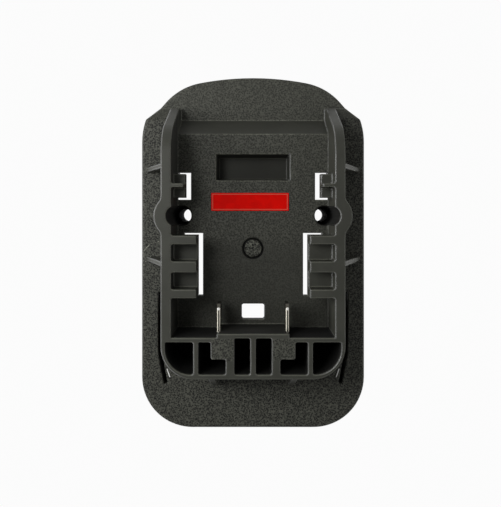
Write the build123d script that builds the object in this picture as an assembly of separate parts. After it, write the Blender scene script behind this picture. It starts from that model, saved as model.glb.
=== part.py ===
from build123d import *
import math
import os

# A tool battery adapter: a slide-in battery receptacle on one side and a slide-on foot for the tool
# on the other. +Z points to the battery, +Y to the end where the battery goes in. The origin lies
# midway between the two fixing holes, on the seating plane of the tool side deck. Millimetres.
# Sizes named half are from the middle plane, and the model is built on +X and mirrored.

# Heights, stacked from the seating plane to the rim of the receptacle
rail_thickness = 3.0
groove_height = 5.0
band_height = 3.0
front_skirt = 4.0
hood_drop = 5.0
floor_rise = 4.5
wall_height = 20.0
shell_thickness = 2.5
skirt_thickness = 2.4

shoulder_z = rail_thickness + groove_height
parting_z = shoulder_z + band_height
hood_z = parting_z + front_skirt
plate_z = hood_z + hood_drop
floor_z = plate_z + floor_rise
rim_z = plate_z + wall_height
under_hood_z = hood_z - shell_thickness
under_plate_z = plate_z - shell_thickness
under_floor_z = floor_z - shell_thickness

# Half width of the receptacle's channel, and the outline of the flange, which follows it
channel_half = 25.0
side_margin = 12.75
half_width = channel_half + side_margin
hood_y = 47.9
shoulder_back = 15.6
side_curve = 7.3
tail_y = 72.0
hood_radius = 98.0
hood_corner_radius = 21.0
tail_radius = 17.2
edge_radius = 0.8
shoulder_share = 0.968
hood_corner_share = 0.69
shoulder_x = half_width * shoulder_share
shoulder_y = hood_y - shoulder_back

# Raised side plates, which end in a sloped facet and a step down to the hood
facet_length = 4.4
facet_drop = 2.0
facet_set_back = 5.0

# Receptacle walls, floor and entry ramp
wall_thickness = 3.1
wall_half = channel_half + wall_thickness
block_y = 49.7
block_corner_radius = 10.0
wall_top_back = 22.6
wall_ramp_length = 11.1
wall_ramp_radius = 11.3
ramp_run = 5.9
ramp_top_back = 20.9
ramp_top_y = hood_y - ramp_top_back

# Fixing holes, counterbored from the rim and empty
fixing_inset = 1.45
fixing_half = channel_half - fixing_inset
fixing_radius = 2.25
counterbore_radius = 3.13
fixing_seat = 14.5
bulge_radius = 6.75
bulge_blend = 3.0
fixing_boss_radius = 5.1

# Hooks that hold the battery's rails
lip_drop = 5.9
lip_thickness = 3.6
front_lip_reach = 3.7
front_lip_y = 5.7
front_lip_length = 7.45
front_rib_offset = 3.1
front_rib = 1.1
rear_lip_reach = 7.65
rear_lip_y = 6.0
rear_lip_length = 19.0
rear_rib_front = 2.6
rear_rib_middle = 3.3
rear_rib_back = 2.6
rib_root_radius = 0.7
front_slot_back_margin = 0.45
front_slot_front_margin = 1.1
front_slot_width = 4.45
front_slot_relief = 1.1
rear_slot_width = 6.2
rear_slot_gap = 0.78
rear_slot_back_margin = 1.45
rear_slot_front_margin = 0.2

# Latch pocket, window and mould mark in the floor
pocket_half = 12.2
pocket_y = 11.6
pocket_length = 8.7
pocket_depth = 6.0
pocket_wall = 1.5
pocket_draft = 6.0
window_half = 3.73
window_y = 29.17
window_length = 5.1
window_radius = 0.7
mark_radius = 3.5
mark_groove = 0.6
mark_y = 10.9

# Terminal block with its cored cells
block_front_y = 35.9
side_wall_set_back = 1.2
block_step_margin = 0.35
cross_wall = 1.3
block_wall = 1.4
solid_outer_half = 12.9
solid_inner_half = 5.7
solid_length = 7.7
leg_width = 2.6
centre_web = 1.7
cell_wall = 1.5
angled_cell_reach = 3.8
cell_outer_half = solid_outer_half + angled_cell_reach
corner_cell_wall = 1.2
corner_cell_half = wall_half - corner_cell_wall
corner_cell_radius = 7.9
corner_cell_flat = 0.7
cell_radius = 0.6

# Gussets between the walls and the plate, and the long slots beside the walls
gusset_thickness = 1.4
gusset_front_y = 15.4
gusset_rear_y = 14.7
gusset_inset = 1.8
gusset_top_gap = 1.0
tail_gusset_half = 12.9
tail_gusset_thickness = 2.2
tail_gusset_reach = 7.8
slot_width = 1.3
slot_offset = 3.4
slot_y = 26.0
slot_length = 31.0
slot_turn_length = 10.5
slot_turn_in = 1.9

# Blades for the battery
blade_half = 10.7
blade_thickness = 1.0
blade_edge = 0.3
blade_drop = 4.0
blade_height = 8.0
blade_reach = 8.4
blade_nose = 1.2
blade_root = 5.4
blade_shank = 4.2
blade_tail = 4.6

# Label film
label_left = 13.8
label_right = 11.8
label_y = 1.6
label_length = 5.9
label_thickness = 0.2

# Tool side shell: band, shoulder, slide deck with rails, and end platform for the latch
shoulder_wall = 2.2
deck_wall = 2.4
neck_gap = 2.2
neck_wall = 1.9
rail_reach = 3.5
deck_front_y = 20.0
deck_back_y = 46.0
rail_inset = 2.0
deck_corner_radius = 3.0
platform_drop = 4.0
platform_gap = 4.0
platform_y = deck_front_y + platform_gap
platform_z = shoulder_z - platform_drop
tongue_height = 1.4
tongue_thickness = 1.2
fit_gap = 0.15
keyway_half = 5.0

# Openings in the deck behind the floor's slots and window
sight_share = 0.1307
sight_gap = 0.4

# Connector block with the tool side contacts
connector_half = 16.0
connector_length = 25.5
connector_height = 8.8
connector_wall = 1.4
connector_floor = 1.6
power_half = 12.2
power_chamber = 4.4
signal_half = 7.2
signal_chamber = 2.8
entry_slit = 1.8
entry_length = 17.0
lug_radius = 2.9
lug_half = 9.5
lug_offset = 3.0
lug_thickness = 1.8
post_height = 4.6

# Sprung sockets
leaf_thickness = 0.5
leaf_length = 15.0
leaf_height = 6.5
leaf_gap = 1.9
leaf_pinch = 0.9
leaf_flare = 1.6
flare_length = 2.5
socket_tab = 3.2
signal_scale_share = 0.62

# Circuit board and what it carries
board_half = 14.6
board_y = 0.6
board_length = 11.6
board_thickness = 1.6
board_screw_half = 11.4
board_screw_offset = 8.4
resistor_radius = 1.1
resistor_length = 6.0
resistor_half = 4.0
resistor_offset = 3.4
capacitor_radius = 2.4
capacitor_height = 4.2
capacitor_half = 5.6
capacitor_offset = 3.8

# Wires
lead_radius = 1.2
socket_tab_rise = 3.5
wire_run = 4.0
wire_pad_inset = 2.0
signal_pad_half = 3.4
return_pad_half = 6.4
thin_wire_arch = 2.0
signal_lead_radius = 0.6
wire_bend = 2.2
signal_wire_bend = 1.4

# Screws
screw_radius = 1.2
screw_gap = 0.05
screw_head_radius = 2.5
screw_head_height = 1.5
housing_screw_length = 8.0
small_screw_length = 4.6
screw_recess_gap = 0.2
boss_radius = 2.9
front_screw_inset = 6.6
front_screw_offset = 3.7
tail_screw_side = 13.5
tail_screw_half = half_width - tail_screw_side
tail_screw_inset = 11.7
middle_screw_half = 9.6
middle_screw_y = 5.4
middle_boss_z = 4.4

# Latch: button and catch in one moulding, two springs
latch_travel = 3.5
catch_margin = 0.3
catch_reach = latch_travel - catch_margin
catch_half = 6.5
catch_top = 2.4
catch_slope = 3.0
catch_back = 9.1
button_half = 11.0
button_clearance = 0.3
button_thickness = 3.4
button_back_gap = 0.3
button_front_height = 4.2
button_bulge = 0.8
button_front_depth = 3.6
grip_groove = 0.5
grip_count = 2
stop_reach = 2.4
stop_length = 6.0
stop_thickness = 2.0
stop_gap = 0.2
guide_height = 4.8
guide_wall = 1.5
guide_length = 9.0
guide_offset = 9.5
spring_half = 8.0
spring_offset = 2.9
spring_post_radius = 1.2
spring_post_height = 3.0
spring_seat_radius = 3.0
spring_seat_drop = 0.2
spring_wire = 0.5
spring_gap = 0.05
spring_radius = 1.9
spring_turns = 5

# Hook slots in the floor as (y0, y1, x0, x1)
front_slot = (front_lip_y - front_slot_back_margin, front_lip_y + front_lip_length + front_slot_front_margin,
              channel_half - front_slot_width, channel_half)
rear_slot_inner = channel_half - rear_lip_reach - rear_slot_gap
rear_slot = (-rear_lip_y - rear_lip_length - rear_slot_back_margin, -rear_lip_y + rear_slot_front_margin,
             rear_slot_inner, rear_slot_inner + rear_slot_width)

# Neck and rails of the slide deck
neck_half = wall_half + neck_gap
neck_inner = neck_half - neck_wall
rail_half = neck_half + rail_reach

# Latch places that both shells follow
button_back_y = platform_y
spring_y = button_back_y + spring_offset
button_top_z = platform_z + button_thickness
spring_top_z = hood_z + spring_seat_drop

# Connector places that the shell, the block, the sockets and the wires follow
connector_back_y = -deck_back_y
connector_front_y = connector_back_y + connector_length
lug_y = connector_front_y + lug_offset
lug_z = deck_wall + post_height
board_screw_y = board_y - board_screw_offset
socket_mouth_y = connector_back_y + connector_wall + flare_length
socket_end_y = socket_mouth_y + leaf_length + socket_tab

# Every cut runs this far past the face that it starts from
over = 1.0


def box(x0, x1, y0, y1, z0, z1):
    """A block between two corners."""
    return Pos((x0 + x1) / 2, (y0 + y1) / 2, (z0 + z1) / 2) * Box(x1 - x0, y1 - y0, z1 - z0)


def post(x, y, radius, z0, z1):
    """An upright cylinder."""
    return Pos(x, y, (z0 + z1) / 2) * Cylinder(radius, z1 - z0)


def slab(face, z0, z1):
    """A plan drawn on the ground plane, raised between two heights."""
    return Pos(0, 0, z0) * extrude(face, amount=z1 - z0)


def side_slab(points, x0, x1):
    """A profile of (y, z) points, extruded between two x places."""
    face = make_face(Polyline(*[(x0, y, z) for y, z in points], close=True))
    return extrude(face, amount=x1 - x0, dir=(1, 0, 0))


def both(shape):
    """The shape and its mirror image on -X."""
    return shape + mirror(shape, about=Plane.YZ)


def tidy(shape, name):
    """One clean solid per piece, written under its node's name."""
    solids = shape.solids()
    part = solids[0] if len(solids) == 1 else Compound(children=list(solids))
    part.label = name
    export_step(part, os.path.join("parts", name + ".step"))
    return part


def hood_arc_y(x):
    """Height of the hood's large arc at a place across it."""
    return hood_y - hood_radius + math.sqrt(hood_radius ** 2 - x ** 2)


def outline():
    """Plan of the flange: arc, sloped shoulders, straight sides and a round tail."""
    corner = half_width * hood_corner_share
    start = (half_width, shoulder_y - side_curve)
    edges = [
        ThreePointArc((-corner, hood_arc_y(corner)), (0, hood_y), (corner, hood_arc_y(corner))),
        Line((corner, hood_arc_y(corner)), (shoulder_x, shoulder_y)),
        TangentArc([start, (shoulder_x, shoulder_y)], tangent=(0, 1)),
        Polyline(start, (half_width, -tail_y), (-half_width, -tail_y), (-half_width, start[1])),
        TangentArc([(-half_width, start[1]), (-shoulder_x, shoulder_y)], tangent=(0, 1)),
        Line((-shoulder_x, shoulder_y), (-corner, hood_arc_y(corner))),
    ]
    face = make_face(edges)
    top = face.vertices().filter_by(lambda v: v.Y > (shoulder_y + hood_y) / 2)
    face = fillet(top, hood_corner_radius)
    tail = face.vertices().group_by(Axis.Y)[0]
    return fillet(tail, tail_radius)


def inner_outline(inset):
    """The flange's plan, drawn in all round."""
    return offset(outline(), amount=-inset)


def deck_plan():
    """Plan of the raised plates, cut straight across in front of the facets."""
    front = shoulder_y + facet_length
    inner = shoulder_x - facet_set_back
    cut = Polyline(
        (-half_width - over, -tail_y - over), (half_width + over, -tail_y - over),
        (half_width + over, shoulder_y), (shoulder_x, shoulder_y), (inner, front),
        (-inner, front), (-shoulder_x, shoulder_y), (-half_width - over, shoulder_y), close=True)
    return outline() & make_face(cut)


def flange():
    """Outside of the battery side shell: rounded hood and skirt, raised plates and their facets."""
    low = slab(outline(), parting_z, hood_z)
    low = fillet(low.edges().group_by(Axis.Z)[-1], edge_radius)
    high = slab(deck_plan(), parting_z, plate_z)
    rim = high.edges().group_by(Axis.Z)[-1].filter_by(lambda e: e.center().Y < shoulder_y)
    high = fillet(rim, edge_radius)
    front = shoulder_y + facet_length
    facet = [(shoulder_y, plate_z), (front, plate_z - facet_drop), (front + over, plate_z - facet_drop),
             (front + over, plate_z + over), (shoulder_y, plate_z + over)]
    return low + (high - side_slab(facet, -half_width - over, half_width + over))


def flange_cavity():
    """Room under the plates and the hood, inside the skirt."""
    inner = inner_outline(skirt_thickness)
    slope_y = shoulder_y - shell_thickness
    low = slab(inner, parting_z - over, under_hood_z)
    tall = box(-half_width, half_width, -tail_y, slope_y, parting_z - over, under_plate_z)
    return low + (slab(inner, parting_z - over, under_plate_z) & tall)


def wall_plan():
    """Plan of the receptacle's outer wall, with the bulges round the fixing bores."""
    front = hood_y + over
    face = make_face(Polyline((-wall_half, front), (wall_half, front), (wall_half, -block_y),
                              (-wall_half, -block_y), close=True))
    face = fillet(face.vertices().group_by(Axis.Y)[0], block_corner_radius)
    bulges = [Pos(side * fixing_half, 0) * Circle(bulge_radius) for side in (-1, 1)]
    face = face + bulges
    joins = face.vertices().filter_by(lambda v: abs(v.Y) < bulge_radius)
    return fillet(joins, bulge_blend)


def wall_ends():
    """What is cut away above the walls' front ends, which round over into a slope."""
    top_y = hood_y - wall_top_back
    end_y = top_y + wall_ramp_length
    end_z = plate_z - facet_drop / 2
    back_y = top_y - wall_ramp_length
    ramp = FilletPolyline((0, back_y, rim_z), (0, top_y, rim_z), (0, end_y, end_z), radius=wall_ramp_radius)
    rest = Polyline((0, end_y, end_z), (0, end_y, hood_z), (0, hood_y + over + over, hood_z),
                    (0, hood_y + over + over, rim_z + over), (0, back_y, rim_z + over), (0, back_y, rim_z))
    face = make_face([ramp, rest])
    return extrude(face, amount=half_width, dir=(1, 0, 0), both=True)


def channel():
    """The receptacle's free space, from the floor and its entry ramp up past the rim."""
    points = [(-block_front_y - side_wall_set_back, floor_z), (ramp_top_y, floor_z),
              (ramp_top_y + ramp_run, hood_z), (hood_y + over + over, hood_z),
              (hood_y + over + over, rim_z + over), (-block_front_y - side_wall_set_back, rim_z + over)]
    return side_slab(points, -channel_half, channel_half)


def channel_cavity():
    """Room under the receptacle's floor, following its ramp."""
    back_y = -block_front_y
    slope = (floor_z - hood_z) / ramp_run
    turn_y = ramp_top_y - shell_thickness / slope
    foot_y = turn_y + (under_floor_z - under_hood_z) / slope
    points = [(back_y, parting_z - over), (back_y, under_floor_z), (turn_y, under_floor_z),
              (foot_y, under_hood_z), (foot_y, parting_z - over)]
    return side_slab(points, -channel_half, channel_half)


def cell(face):
    """One cored cell of the terminal block, open at the rim."""
    return slab(face, plate_z, rim_z + over)


def cells():
    """Cored cells of the terminal block, with rounded corners."""
    back_y = -block_y + block_wall
    side_y = -block_front_y - side_wall_set_back - cross_wall
    middle_y = -block_front_y - cross_wall
    step_y = -block_front_y - solid_length
    outer_x = cell_outer_half + cell_wall
    leg_x = solid_inner_half + leg_width
    middle = make_face(Polyline((centre_web / 2, middle_y), (solid_inner_half, middle_y),
                                (solid_inner_half, back_y), (centre_web / 2, back_y), close=True))
    angled = make_face(Polyline((solid_outer_half, side_y), (cell_outer_half, side_y),
                                (cell_outer_half, back_y), (leg_x, back_y), (leg_x, step_y),
                                (solid_outer_half, step_y), close=True))
    corner = make_face(Polyline((outer_x, side_y), (corner_cell_half, side_y), (corner_cell_half, back_y),
                                (outer_x, back_y), close=True))
    round_vertex = corner.vertices().sort_by(Axis.Y)[:2].sort_by(Axis.X)[-1]
    short_side = min(corner_cell_half - outer_x, side_y - back_y)
    corner = fillet(round_vertex, min(corner_cell_radius, short_side - corner_cell_flat))
    corner = fillet(corner.vertices().group_by(Axis.Y)[-1], cell_radius)
    corner = fillet(corner.vertices().group_by(Axis.Y)[0].sort_by(Axis.X)[0], cell_radius)
    return both(cell(fillet(middle.vertices(), cell_radius)) + cell(fillet(angled.vertices(), cell_radius))
                + cell(corner))


def rib_root(y, outward):
    """Concave rounding where a rib's side at y meets the wall. Outward is 1 or -1 along Y."""
    x0 = channel_half - rib_root_radius
    end = y + outward * rib_root_radius
    z0 = rim_z - lip_drop
    block = box(x0, channel_half + wall_thickness / 2, min(y, end), max(y, end), z0, rim_z)
    return block - post(x0, end, rib_root_radius, z0 - over, rim_z + over)


def hook(y0, length, reach, ribs):
    """An overhanging lip on the +X wall with ribs up to the rim, each rib a (y0, y1) pair."""
    z1 = rim_z - lip_drop
    inner = channel_half - reach
    root = channel_half + wall_thickness / 2
    lip = box(inner, root, y0 - length, y0, z1 - lip_thickness, z1)
    for start, end in ribs:
        lip += box(inner, root, start, end, z1 - lip_thickness, rim_z)
        lip += rib_root(start, -1) + rib_root(end, 1)
    return lip


def hooks():
    """The four hooks."""
    front_start = front_lip_y + front_lip_length
    rib_y = front_lip_y + front_rib_offset
    front = hook(front_start, front_lip_length, front_lip_reach, [(rib_y, rib_y + front_rib)])
    end_y = -rear_lip_y - rear_lip_length
    middle_y = (-rear_lip_y + end_y) / 2
    ribs = [(-rear_lip_y - rear_rib_front, -rear_lip_y),
            (middle_y - rear_rib_middle / 2, middle_y + rear_rib_middle / 2),
            (end_y, end_y + rear_rib_back)]
    rear = hook(-rear_lip_y, rear_lip_length, rear_lip_reach, ribs)
    return both(front + rear)


def hook_slot(y0, y1, x0, x1):
    """One opening in the floor under a hook."""
    return box(x0, x1, y0, y1, under_floor_z - over, floor_z + over)


def floor_cuts():
    """Hook slots, latch pocket, window and the mould mark's ring groove."""
    y0, y1, x0, x1 = front_slot
    relief = box(x0, x1 + front_slot_relief, y0, y1, under_plate_z - over, under_floor_z)
    cuts = both(hook_slot(*front_slot) + relief + hook_slot(*rear_slot))
    pocket = Pos(0, pocket_y + pocket_length / 2, floor_z) * Rectangle(2 * pocket_half, pocket_length)
    cuts += extrude(pocket, amount=-pocket_depth, taper=pocket_draft)
    window = RectangleRounded(2 * window_half, window_length, window_radius)
    cuts += Pos(0, -window_y - window_length / 2) * slab(window, under_floor_z - over, floor_z + over)
    ring = Circle(mark_radius) - Circle(mark_radius - mark_groove)
    return cuts + Pos(0, -mark_y) * slab(ring, floor_z - mark_groove, floor_z + over)


def pocket_shell():
    """Walls round the underside of the latch pocket."""
    side = pocket_half + pocket_wall
    return box(-side, side, pocket_y - pocket_wall, pocket_y + pocket_length + pocket_wall,
               floor_z - pocket_depth - pocket_wall, under_floor_z)


def fixing_bores():
    """Counterbores from the rim and through bores down to the seating plane."""
    bore = post(fixing_half, 0, counterbore_radius, fixing_seat, rim_z + over)
    bore += post(fixing_half, 0, fixing_radius, -over, fixing_seat)
    return both(bore)


def gussets():
    """Three-cornered ribs from the walls and the block down to the plate."""
    top = rim_z - gusset_top_gap
    end = half_width - gusset_inset
    root = wall_half - wall_thickness / 2
    shape = None
    for y in (gusset_front_y, -gusset_rear_y):
        face = make_face(Polyline((root, y, top), (wall_half, y, top), (end, y, plate_z),
                                  (end, y, under_plate_z), (root, y, under_plate_z), close=True))
        rib = extrude(face, amount=gusset_thickness / 2, dir=(0, 1, 0), both=True)
        shape = rib if shape is None else shape + rib
    side = tail_gusset_half
    points = [(-block_y + block_wall / 2, top), (-block_y, top), (-block_y - tail_gusset_reach, plate_z),
              (-block_y - tail_gusset_reach, under_plate_z), (-block_y + block_wall / 2, under_plate_z)]
    tail = side_slab(points, side - tail_gusset_thickness / 2, side + tail_gusset_thickness / 2)
    return both(shape + tail)


def wall_slots():
    """Long slots in the plate beside the walls, turning in round the block's corner."""
    x = wall_half + slot_offset
    turn_y = -slot_y - slot_length + slot_turn_length
    path = FilletPolyline((x, -slot_y), (x, turn_y), (x - slot_turn_in, -slot_y - slot_length),
                          radius=slot_turn_length)
    return both(slab(trace(path, line_width=slot_width), under_plate_z - over, plate_z + over))


def screw_places():
    """Housing screws as (x, y, outer face, head seat, foot and root of the upper boss)."""
    sunk = screw_head_height + screw_recess_gap
    front = (half_width - front_screw_inset, shoulder_y - front_screw_offset, platform_z, shoulder_z + sunk,
             parting_z, under_plate_z)
    tail = (tail_screw_half, -tail_y + tail_screw_inset, shoulder_z, shoulder_z + sunk,
            parting_z, under_plate_z)
    middle = (middle_screw_half, middle_screw_y, 0, sunk, middle_boss_z, under_floor_z)
    return [(side * place[0],) + place[1:] for place in (front, tail, middle) for side in (-1, 1)]


def battery_side_shell(blades):
    """The moulding with the receptacle, hood and hooks."""
    shell = flange() - flange_cavity()
    walls = slab(wall_plan(), under_plate_z, rim_z) - wall_ends()
    shell = shell + walls - channel_cavity() + pocket_shell()
    for side in (-1, 1):
        shell += post(side * fixing_half, 0, fixing_boss_radius, parting_z, floor_z)
        shell += post(side * spring_half, spring_y, spring_seat_radius, spring_top_z, floor_z)
    shell -= channel()
    step_half = blade_half + block_step_margin
    shell += box(-step_half, step_half, -block_front_y - side_wall_set_back, -block_front_y,
                 under_plate_z, rim_z)
    shell -= cells()
    shell += hooks()
    shell -= floor_cuts()
    shell += gussets()
    shell -= wall_slots()
    for x, y, face, seat, foot, root in screw_places():
        shell += post(x, y, boss_radius, foot, root)
        shell -= post(x, y, screw_radius + screw_gap, foot - over, seat + housing_screw_length + screw_gap)
    shell -= box(-button_half - button_clearance, button_half + button_clearance,
                 hood_y - skirt_thickness - shell_thickness, hood_y + over, parting_z - over, under_hood_z)
    return shell - fixing_bores() - blades


def blade(side):
    """One battery blade: a tongue with coined edges, a root in the block and a tail below the plate."""
    z1 = rim_z - blade_drop
    z0 = z1 - blade_height
    tip = -block_front_y + blade_reach
    root = -block_front_y - blade_root
    tail_z = under_plate_z - blade_tail
    points = [(tip - blade_nose, z1), (tip, z1 - blade_nose), (tip, z0 + blade_nose), (tip - blade_nose, z0),
              (root + blade_shank, z0), (root + blade_shank, tail_z), (root, tail_z), (root, z1)]
    x = side * blade_half
    tongue_part = side_slab(points, x - blade_thickness / 2, x + blade_thickness / 2)
    return fillet(tongue_part.edges().filter_by(Axis.Y).group_by(Axis.Z)[-1], blade_edge)


def label():
    """The bare film strip on the floor."""
    return box(-label_left, label_right, label_y, label_y + label_length, floor_z, floor_z + label_thickness)


def through(slot, z):
    """A floor slot's box at a lower height, spread as a straight look from above spreads it."""
    spread = 1 + sight_share * (floor_z - z) / floor_z
    places = [value * spread for value in slot]
    return [places[0] - sight_gap, places[1] + sight_gap, places[2] - sight_gap, places[3] + sight_gap]


def deck_openings():
    """Openings in the slide deck behind the hook slots."""
    shape = None
    for slot in (front_slot, rear_slot):
        y0, y1, x0, x1 = through(slot, 0)
        hole = box(x0, min(x1, neck_inner), y0, y1, -over, deck_wall + over)
        shape = hole if shape is None else shape + hole
    return both(shape)


def deck_block(half, y0, y1, z0, z1, radius):
    """A block of the deck with rounded upright corners."""
    plan = Pos(0, (y0 + y1) / 2) * RectangleRounded(2 * half, y1 - y0, radius)
    return slab(plan, z0, z1)


def latch_opening():
    """Cut-out in the end platform and the band where the latch button sits."""
    side = button_half + button_clearance
    return box(-side, side, button_back_y - button_back_gap, hood_y + over, platform_z - over,
               parting_z + tongue_height + over)


def latch_guides():
    """Walls beside the button that guide it, one on each side."""
    x0 = button_half + button_clearance
    y0 = button_back_y + guide_offset
    z0 = platform_z + shoulder_wall - fit_gap
    guide = box(x0, x0 + guide_wall, y0, y0 + guide_length, z0, platform_z + shoulder_wall + guide_height)
    return both(guide)


def tongue():
    """Locating rib inside the band, cleared round the other shell's screw bosses."""
    outer = inner_outline(skirt_thickness + fit_gap)
    ring = outer - inner_outline(skirt_thickness + fit_gap + tongue_thickness)
    rib = slab(ring, shoulder_z + shoulder_wall / 2, parting_z + tongue_height)
    for x, y, face, seat, foot, root in screw_places():
        rib -= post(x, y, boss_radius + fit_gap, parting_z, parting_z + tongue_height + over)
    return rib


def tool_side_shell():
    """The back moulding with the slide deck, rails, end platform and screw seats."""
    shell = slab(outline(), shoulder_z, parting_z)
    platform = box(-half_width, half_width, platform_y, hood_y + over, platform_z, parting_z)
    shell += slab(outline(), platform_z, parting_z) & platform
    shell += deck_block(neck_half, -deck_back_y, deck_front_y, 0, shoulder_z + shoulder_wall / 2,
                        deck_corner_radius)
    shell += deck_block(rail_half, -deck_back_y + rail_inset, deck_front_y - rail_inset, 0, rail_thickness,
                        deck_corner_radius)
    inner = inner_outline(skirt_thickness)
    room = slab(inner, shoulder_z + shoulder_wall, parting_z + over)
    end_room = box(-half_width, half_width, platform_y + shoulder_wall, hood_y, platform_z, parting_z + over)
    room += slab(inner, platform_z + shoulder_wall, parting_z + over) & end_room
    room += deck_block(neck_inner, -deck_back_y + neck_wall, deck_front_y - neck_wall, deck_wall,
                       parting_z + over, deck_corner_radius - neck_wall / 2)
    shell -= room
    shell += tongue()
    shell += latch_guides()
    shell -= latch_opening()
    for side in (-1, 1):
        shell += post(side * fixing_half, 0, fixing_boss_radius, 0, parting_z)
        for x, y in ((side * lug_half, lug_y), (side * board_screw_half, board_screw_y)):
            shell += post(x, y, lug_radius, deck_wall / 2, lug_z)
            shell -= post(x, y, screw_radius + screw_gap, deck_wall, lug_z + over)
    shell -= connector_opening()
    shell -= deck_openings()
    for x, y, face, seat, foot, root in screw_places():
        shell += post(x, y, boss_radius + screw_recess_gap + screw_recess_gap, face, foot)
        shell -= post(x, y, screw_head_radius + screw_recess_gap, face - over, seat)
        shell -= post(x, y, screw_radius + screw_recess_gap, seat, foot + over)
    return shell - fixing_bores()


def connector_opening():
    """Cut-out in the deck that the connector block fills, open at the back with the keyway."""
    half = connector_half + fit_gap
    front = connector_front_y + fit_gap
    low = box(-half, half, connector_back_y - over, front, -over, shoulder_z)
    return low + box(-half, half, connector_back_y - fit_gap, front, shoulder_z, connector_height + fit_gap)


def chamber(x, width, y0, length, z1):
    """One contact chamber of the connector block, open on the inside."""
    return box(x - width / 2, x + width / 2, y0, y0 + length, connector_floor, z1)


def connector_block():
    """The tool side contact holder, with entry slits from the deck face and the back end."""
    top = connector_height
    block = box(-connector_half, connector_half, connector_back_y, connector_front_y, 0, top)
    start = connector_back_y + connector_wall
    block -= box(-keyway_half + fit_gap, keyway_half - fit_gap, connector_back_y - over,
                 connector_front_y - connector_wall, -over, top + over)
    for side in (-1, 1):
        x = side * power_half
        block -= chamber(x, power_chamber, start, connector_length - 2 * connector_wall, top + over)
        block -= box(x - entry_slit / 2, x + entry_slit / 2, connector_back_y - over, start + entry_length,
                     -over, connector_floor + leaf_height)
        lug_x = side * lug_half
        lug = post(lug_x, lug_y, lug_radius, lug_z, lug_z + lug_thickness)
        lug += box(lug_x - lug_radius, lug_x + lug_radius, connector_front_y - over, lug_y,
                   lug_z, lug_z + lug_thickness)
        block += lug
        block -= post(side * lug_half, lug_y, screw_radius + screw_gap, lug_z - over,
                      lug_z + lug_thickness + over)
    block -= chamber(signal_half, signal_chamber, start, connector_length - 2 * connector_wall, top + over)
    return block - box(signal_half - entry_slit / 2, signal_half + entry_slit / 2, connector_back_y - over,
                       start + entry_length, -over, connector_floor + leaf_height)


def socket(x, scale_share):
    """A sprung socket: two leaves that pinch towards the mouth, a bridge and a solder tab."""
    mouth = socket_mouth_y
    bridge = mouth + leaf_length
    z0 = connector_floor
    z1 = z0 + leaf_height
    half = leaf_gap / 2 * scale_share
    pinch = leaf_pinch / 2
    flare = leaf_flare / 2 * scale_share
    lip = mouth - flare_length / 2
    neck = mouth + flare_length
    path = Polyline((x - flare, lip), (x - pinch, mouth), (x - half, neck), (x - half, bridge),
                    (x + half, bridge), (x + half, neck), (x + pinch, mouth), (x + flare, lip))
    clip = slab(trace(path, line_width=leaf_thickness), z0, z1)
    tab = box(x - leaf_thickness / 2, x + leaf_thickness / 2, bridge - leaf_thickness / 2,
              bridge + socket_tab, z0, z1 + socket_tab_rise)
    return clip + tab


def wire(points, radius, bend):
    """A round wire along straight runs joined by tangent arcs."""
    path = FilletPolyline(*points, radius=bend)
    plane = Plane(origin=path @ 0, z_dir=path % 0)
    return sweep(plane * Circle(radius), path=path)


def power_lead(side):
    """Wire from a battery blade's tail to the socket's tab."""
    start_y = -block_front_y - blade_root + blade_shank
    tab_y = socket_end_y - socket_tab / 2
    start_z = under_plate_z - blade_tail / 2
    end_z = connector_floor + leaf_height + socket_tab_rise
    points = [(side * blade_half, start_y, start_z), (side * blade_half, start_y + wire_run, start_z),
              (side * power_half, tab_y, start_z), (side * power_half, tab_y, end_z)]
    return wire(points, lead_radius, wire_bend)


def screw(x, y, seat, length, up):
    """A pan-headed screw. Its head sits below the seat if up is 1, above if up is -1."""
    head = post(x, y, screw_head_radius, min(seat, seat - up * screw_head_height),
                max(seat, seat - up * screw_head_height))
    end = seat + up * length
    return head + post(x, y, screw_radius, min(seat, end), max(seat, end))


def circuit_board():
    """The small board on its two posts."""
    board = box(-board_half, board_half, board_y - board_length, board_y, lug_z, lug_z + board_thickness)
    for side in (-1, 1):
        board -= post(side * board_screw_half, board_screw_y, screw_radius + screw_gap, lug_z - over,
                      lug_z + board_thickness + over)
    return board


def latch_button():
    """Button, catch, stop ears and spring posts in one moulding."""
    side = button_half
    top = button_top_z
    body = box(-side, side, button_back_y, hood_y + over, platform_z, top)
    body &= slab(inner_outline(button_clearance), platform_z, top)
    front = box(-side, side, hood_y - button_front_depth, hood_y + over, platform_z,
                platform_z + button_front_height)
    body += front & slab(offset(outline(), amount=button_bulge), platform_z, platform_z + button_front_height)
    grip = offset(outline(), amount=button_bulge + over)
    grip -= offset(outline(), amount=button_bulge - grip_groove)
    for index in range(grip_count):
        z0 = platform_z + button_front_height * (2 * index + 1) / (2 * grip_count + 1)
        body -= slab(grip, z0, z0 + button_front_height / (2 * grip_count + 1))
    catch_y = button_back_y + catch_back
    tip = platform_z - catch_reach
    catch = [(catch_y - catch_slope - catch_top, platform_z), (catch_y - catch_top, tip), (catch_y, tip),
             (catch_y, top), (catch_y - catch_slope - catch_top, top)]
    body += side_slab(catch, -catch_half, catch_half)
    stop_z = platform_z + shoulder_wall + stop_gap
    stop_y = button_back_y + shoulder_wall + button_clearance
    body += both(box(side - stop_reach / 4, side + stop_reach, stop_y, stop_y + stop_length,
                     stop_z, stop_z + stop_thickness))
    for sign in (-1, 1):
        body += post(sign * spring_half, spring_y, spring_post_radius, top, top + spring_post_height)
    return body


def latch_spring(x):
    """A coil spring between the button's post and the shell's seat."""
    start_z = button_top_z + spring_wire / 2 + spring_gap
    length = spring_top_z - spring_wire / 2 - spring_gap - start_z
    path = Helix(pitch=length / spring_turns, height=length, radius=spring_radius)
    plane = Plane(origin=path @ 0, z_dir=path % 0)
    coil = sweep(plane * Circle(spring_wire / 2), path=path, is_frenet=True)
    return Pos(x, spring_y, start_z) * coil


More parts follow.
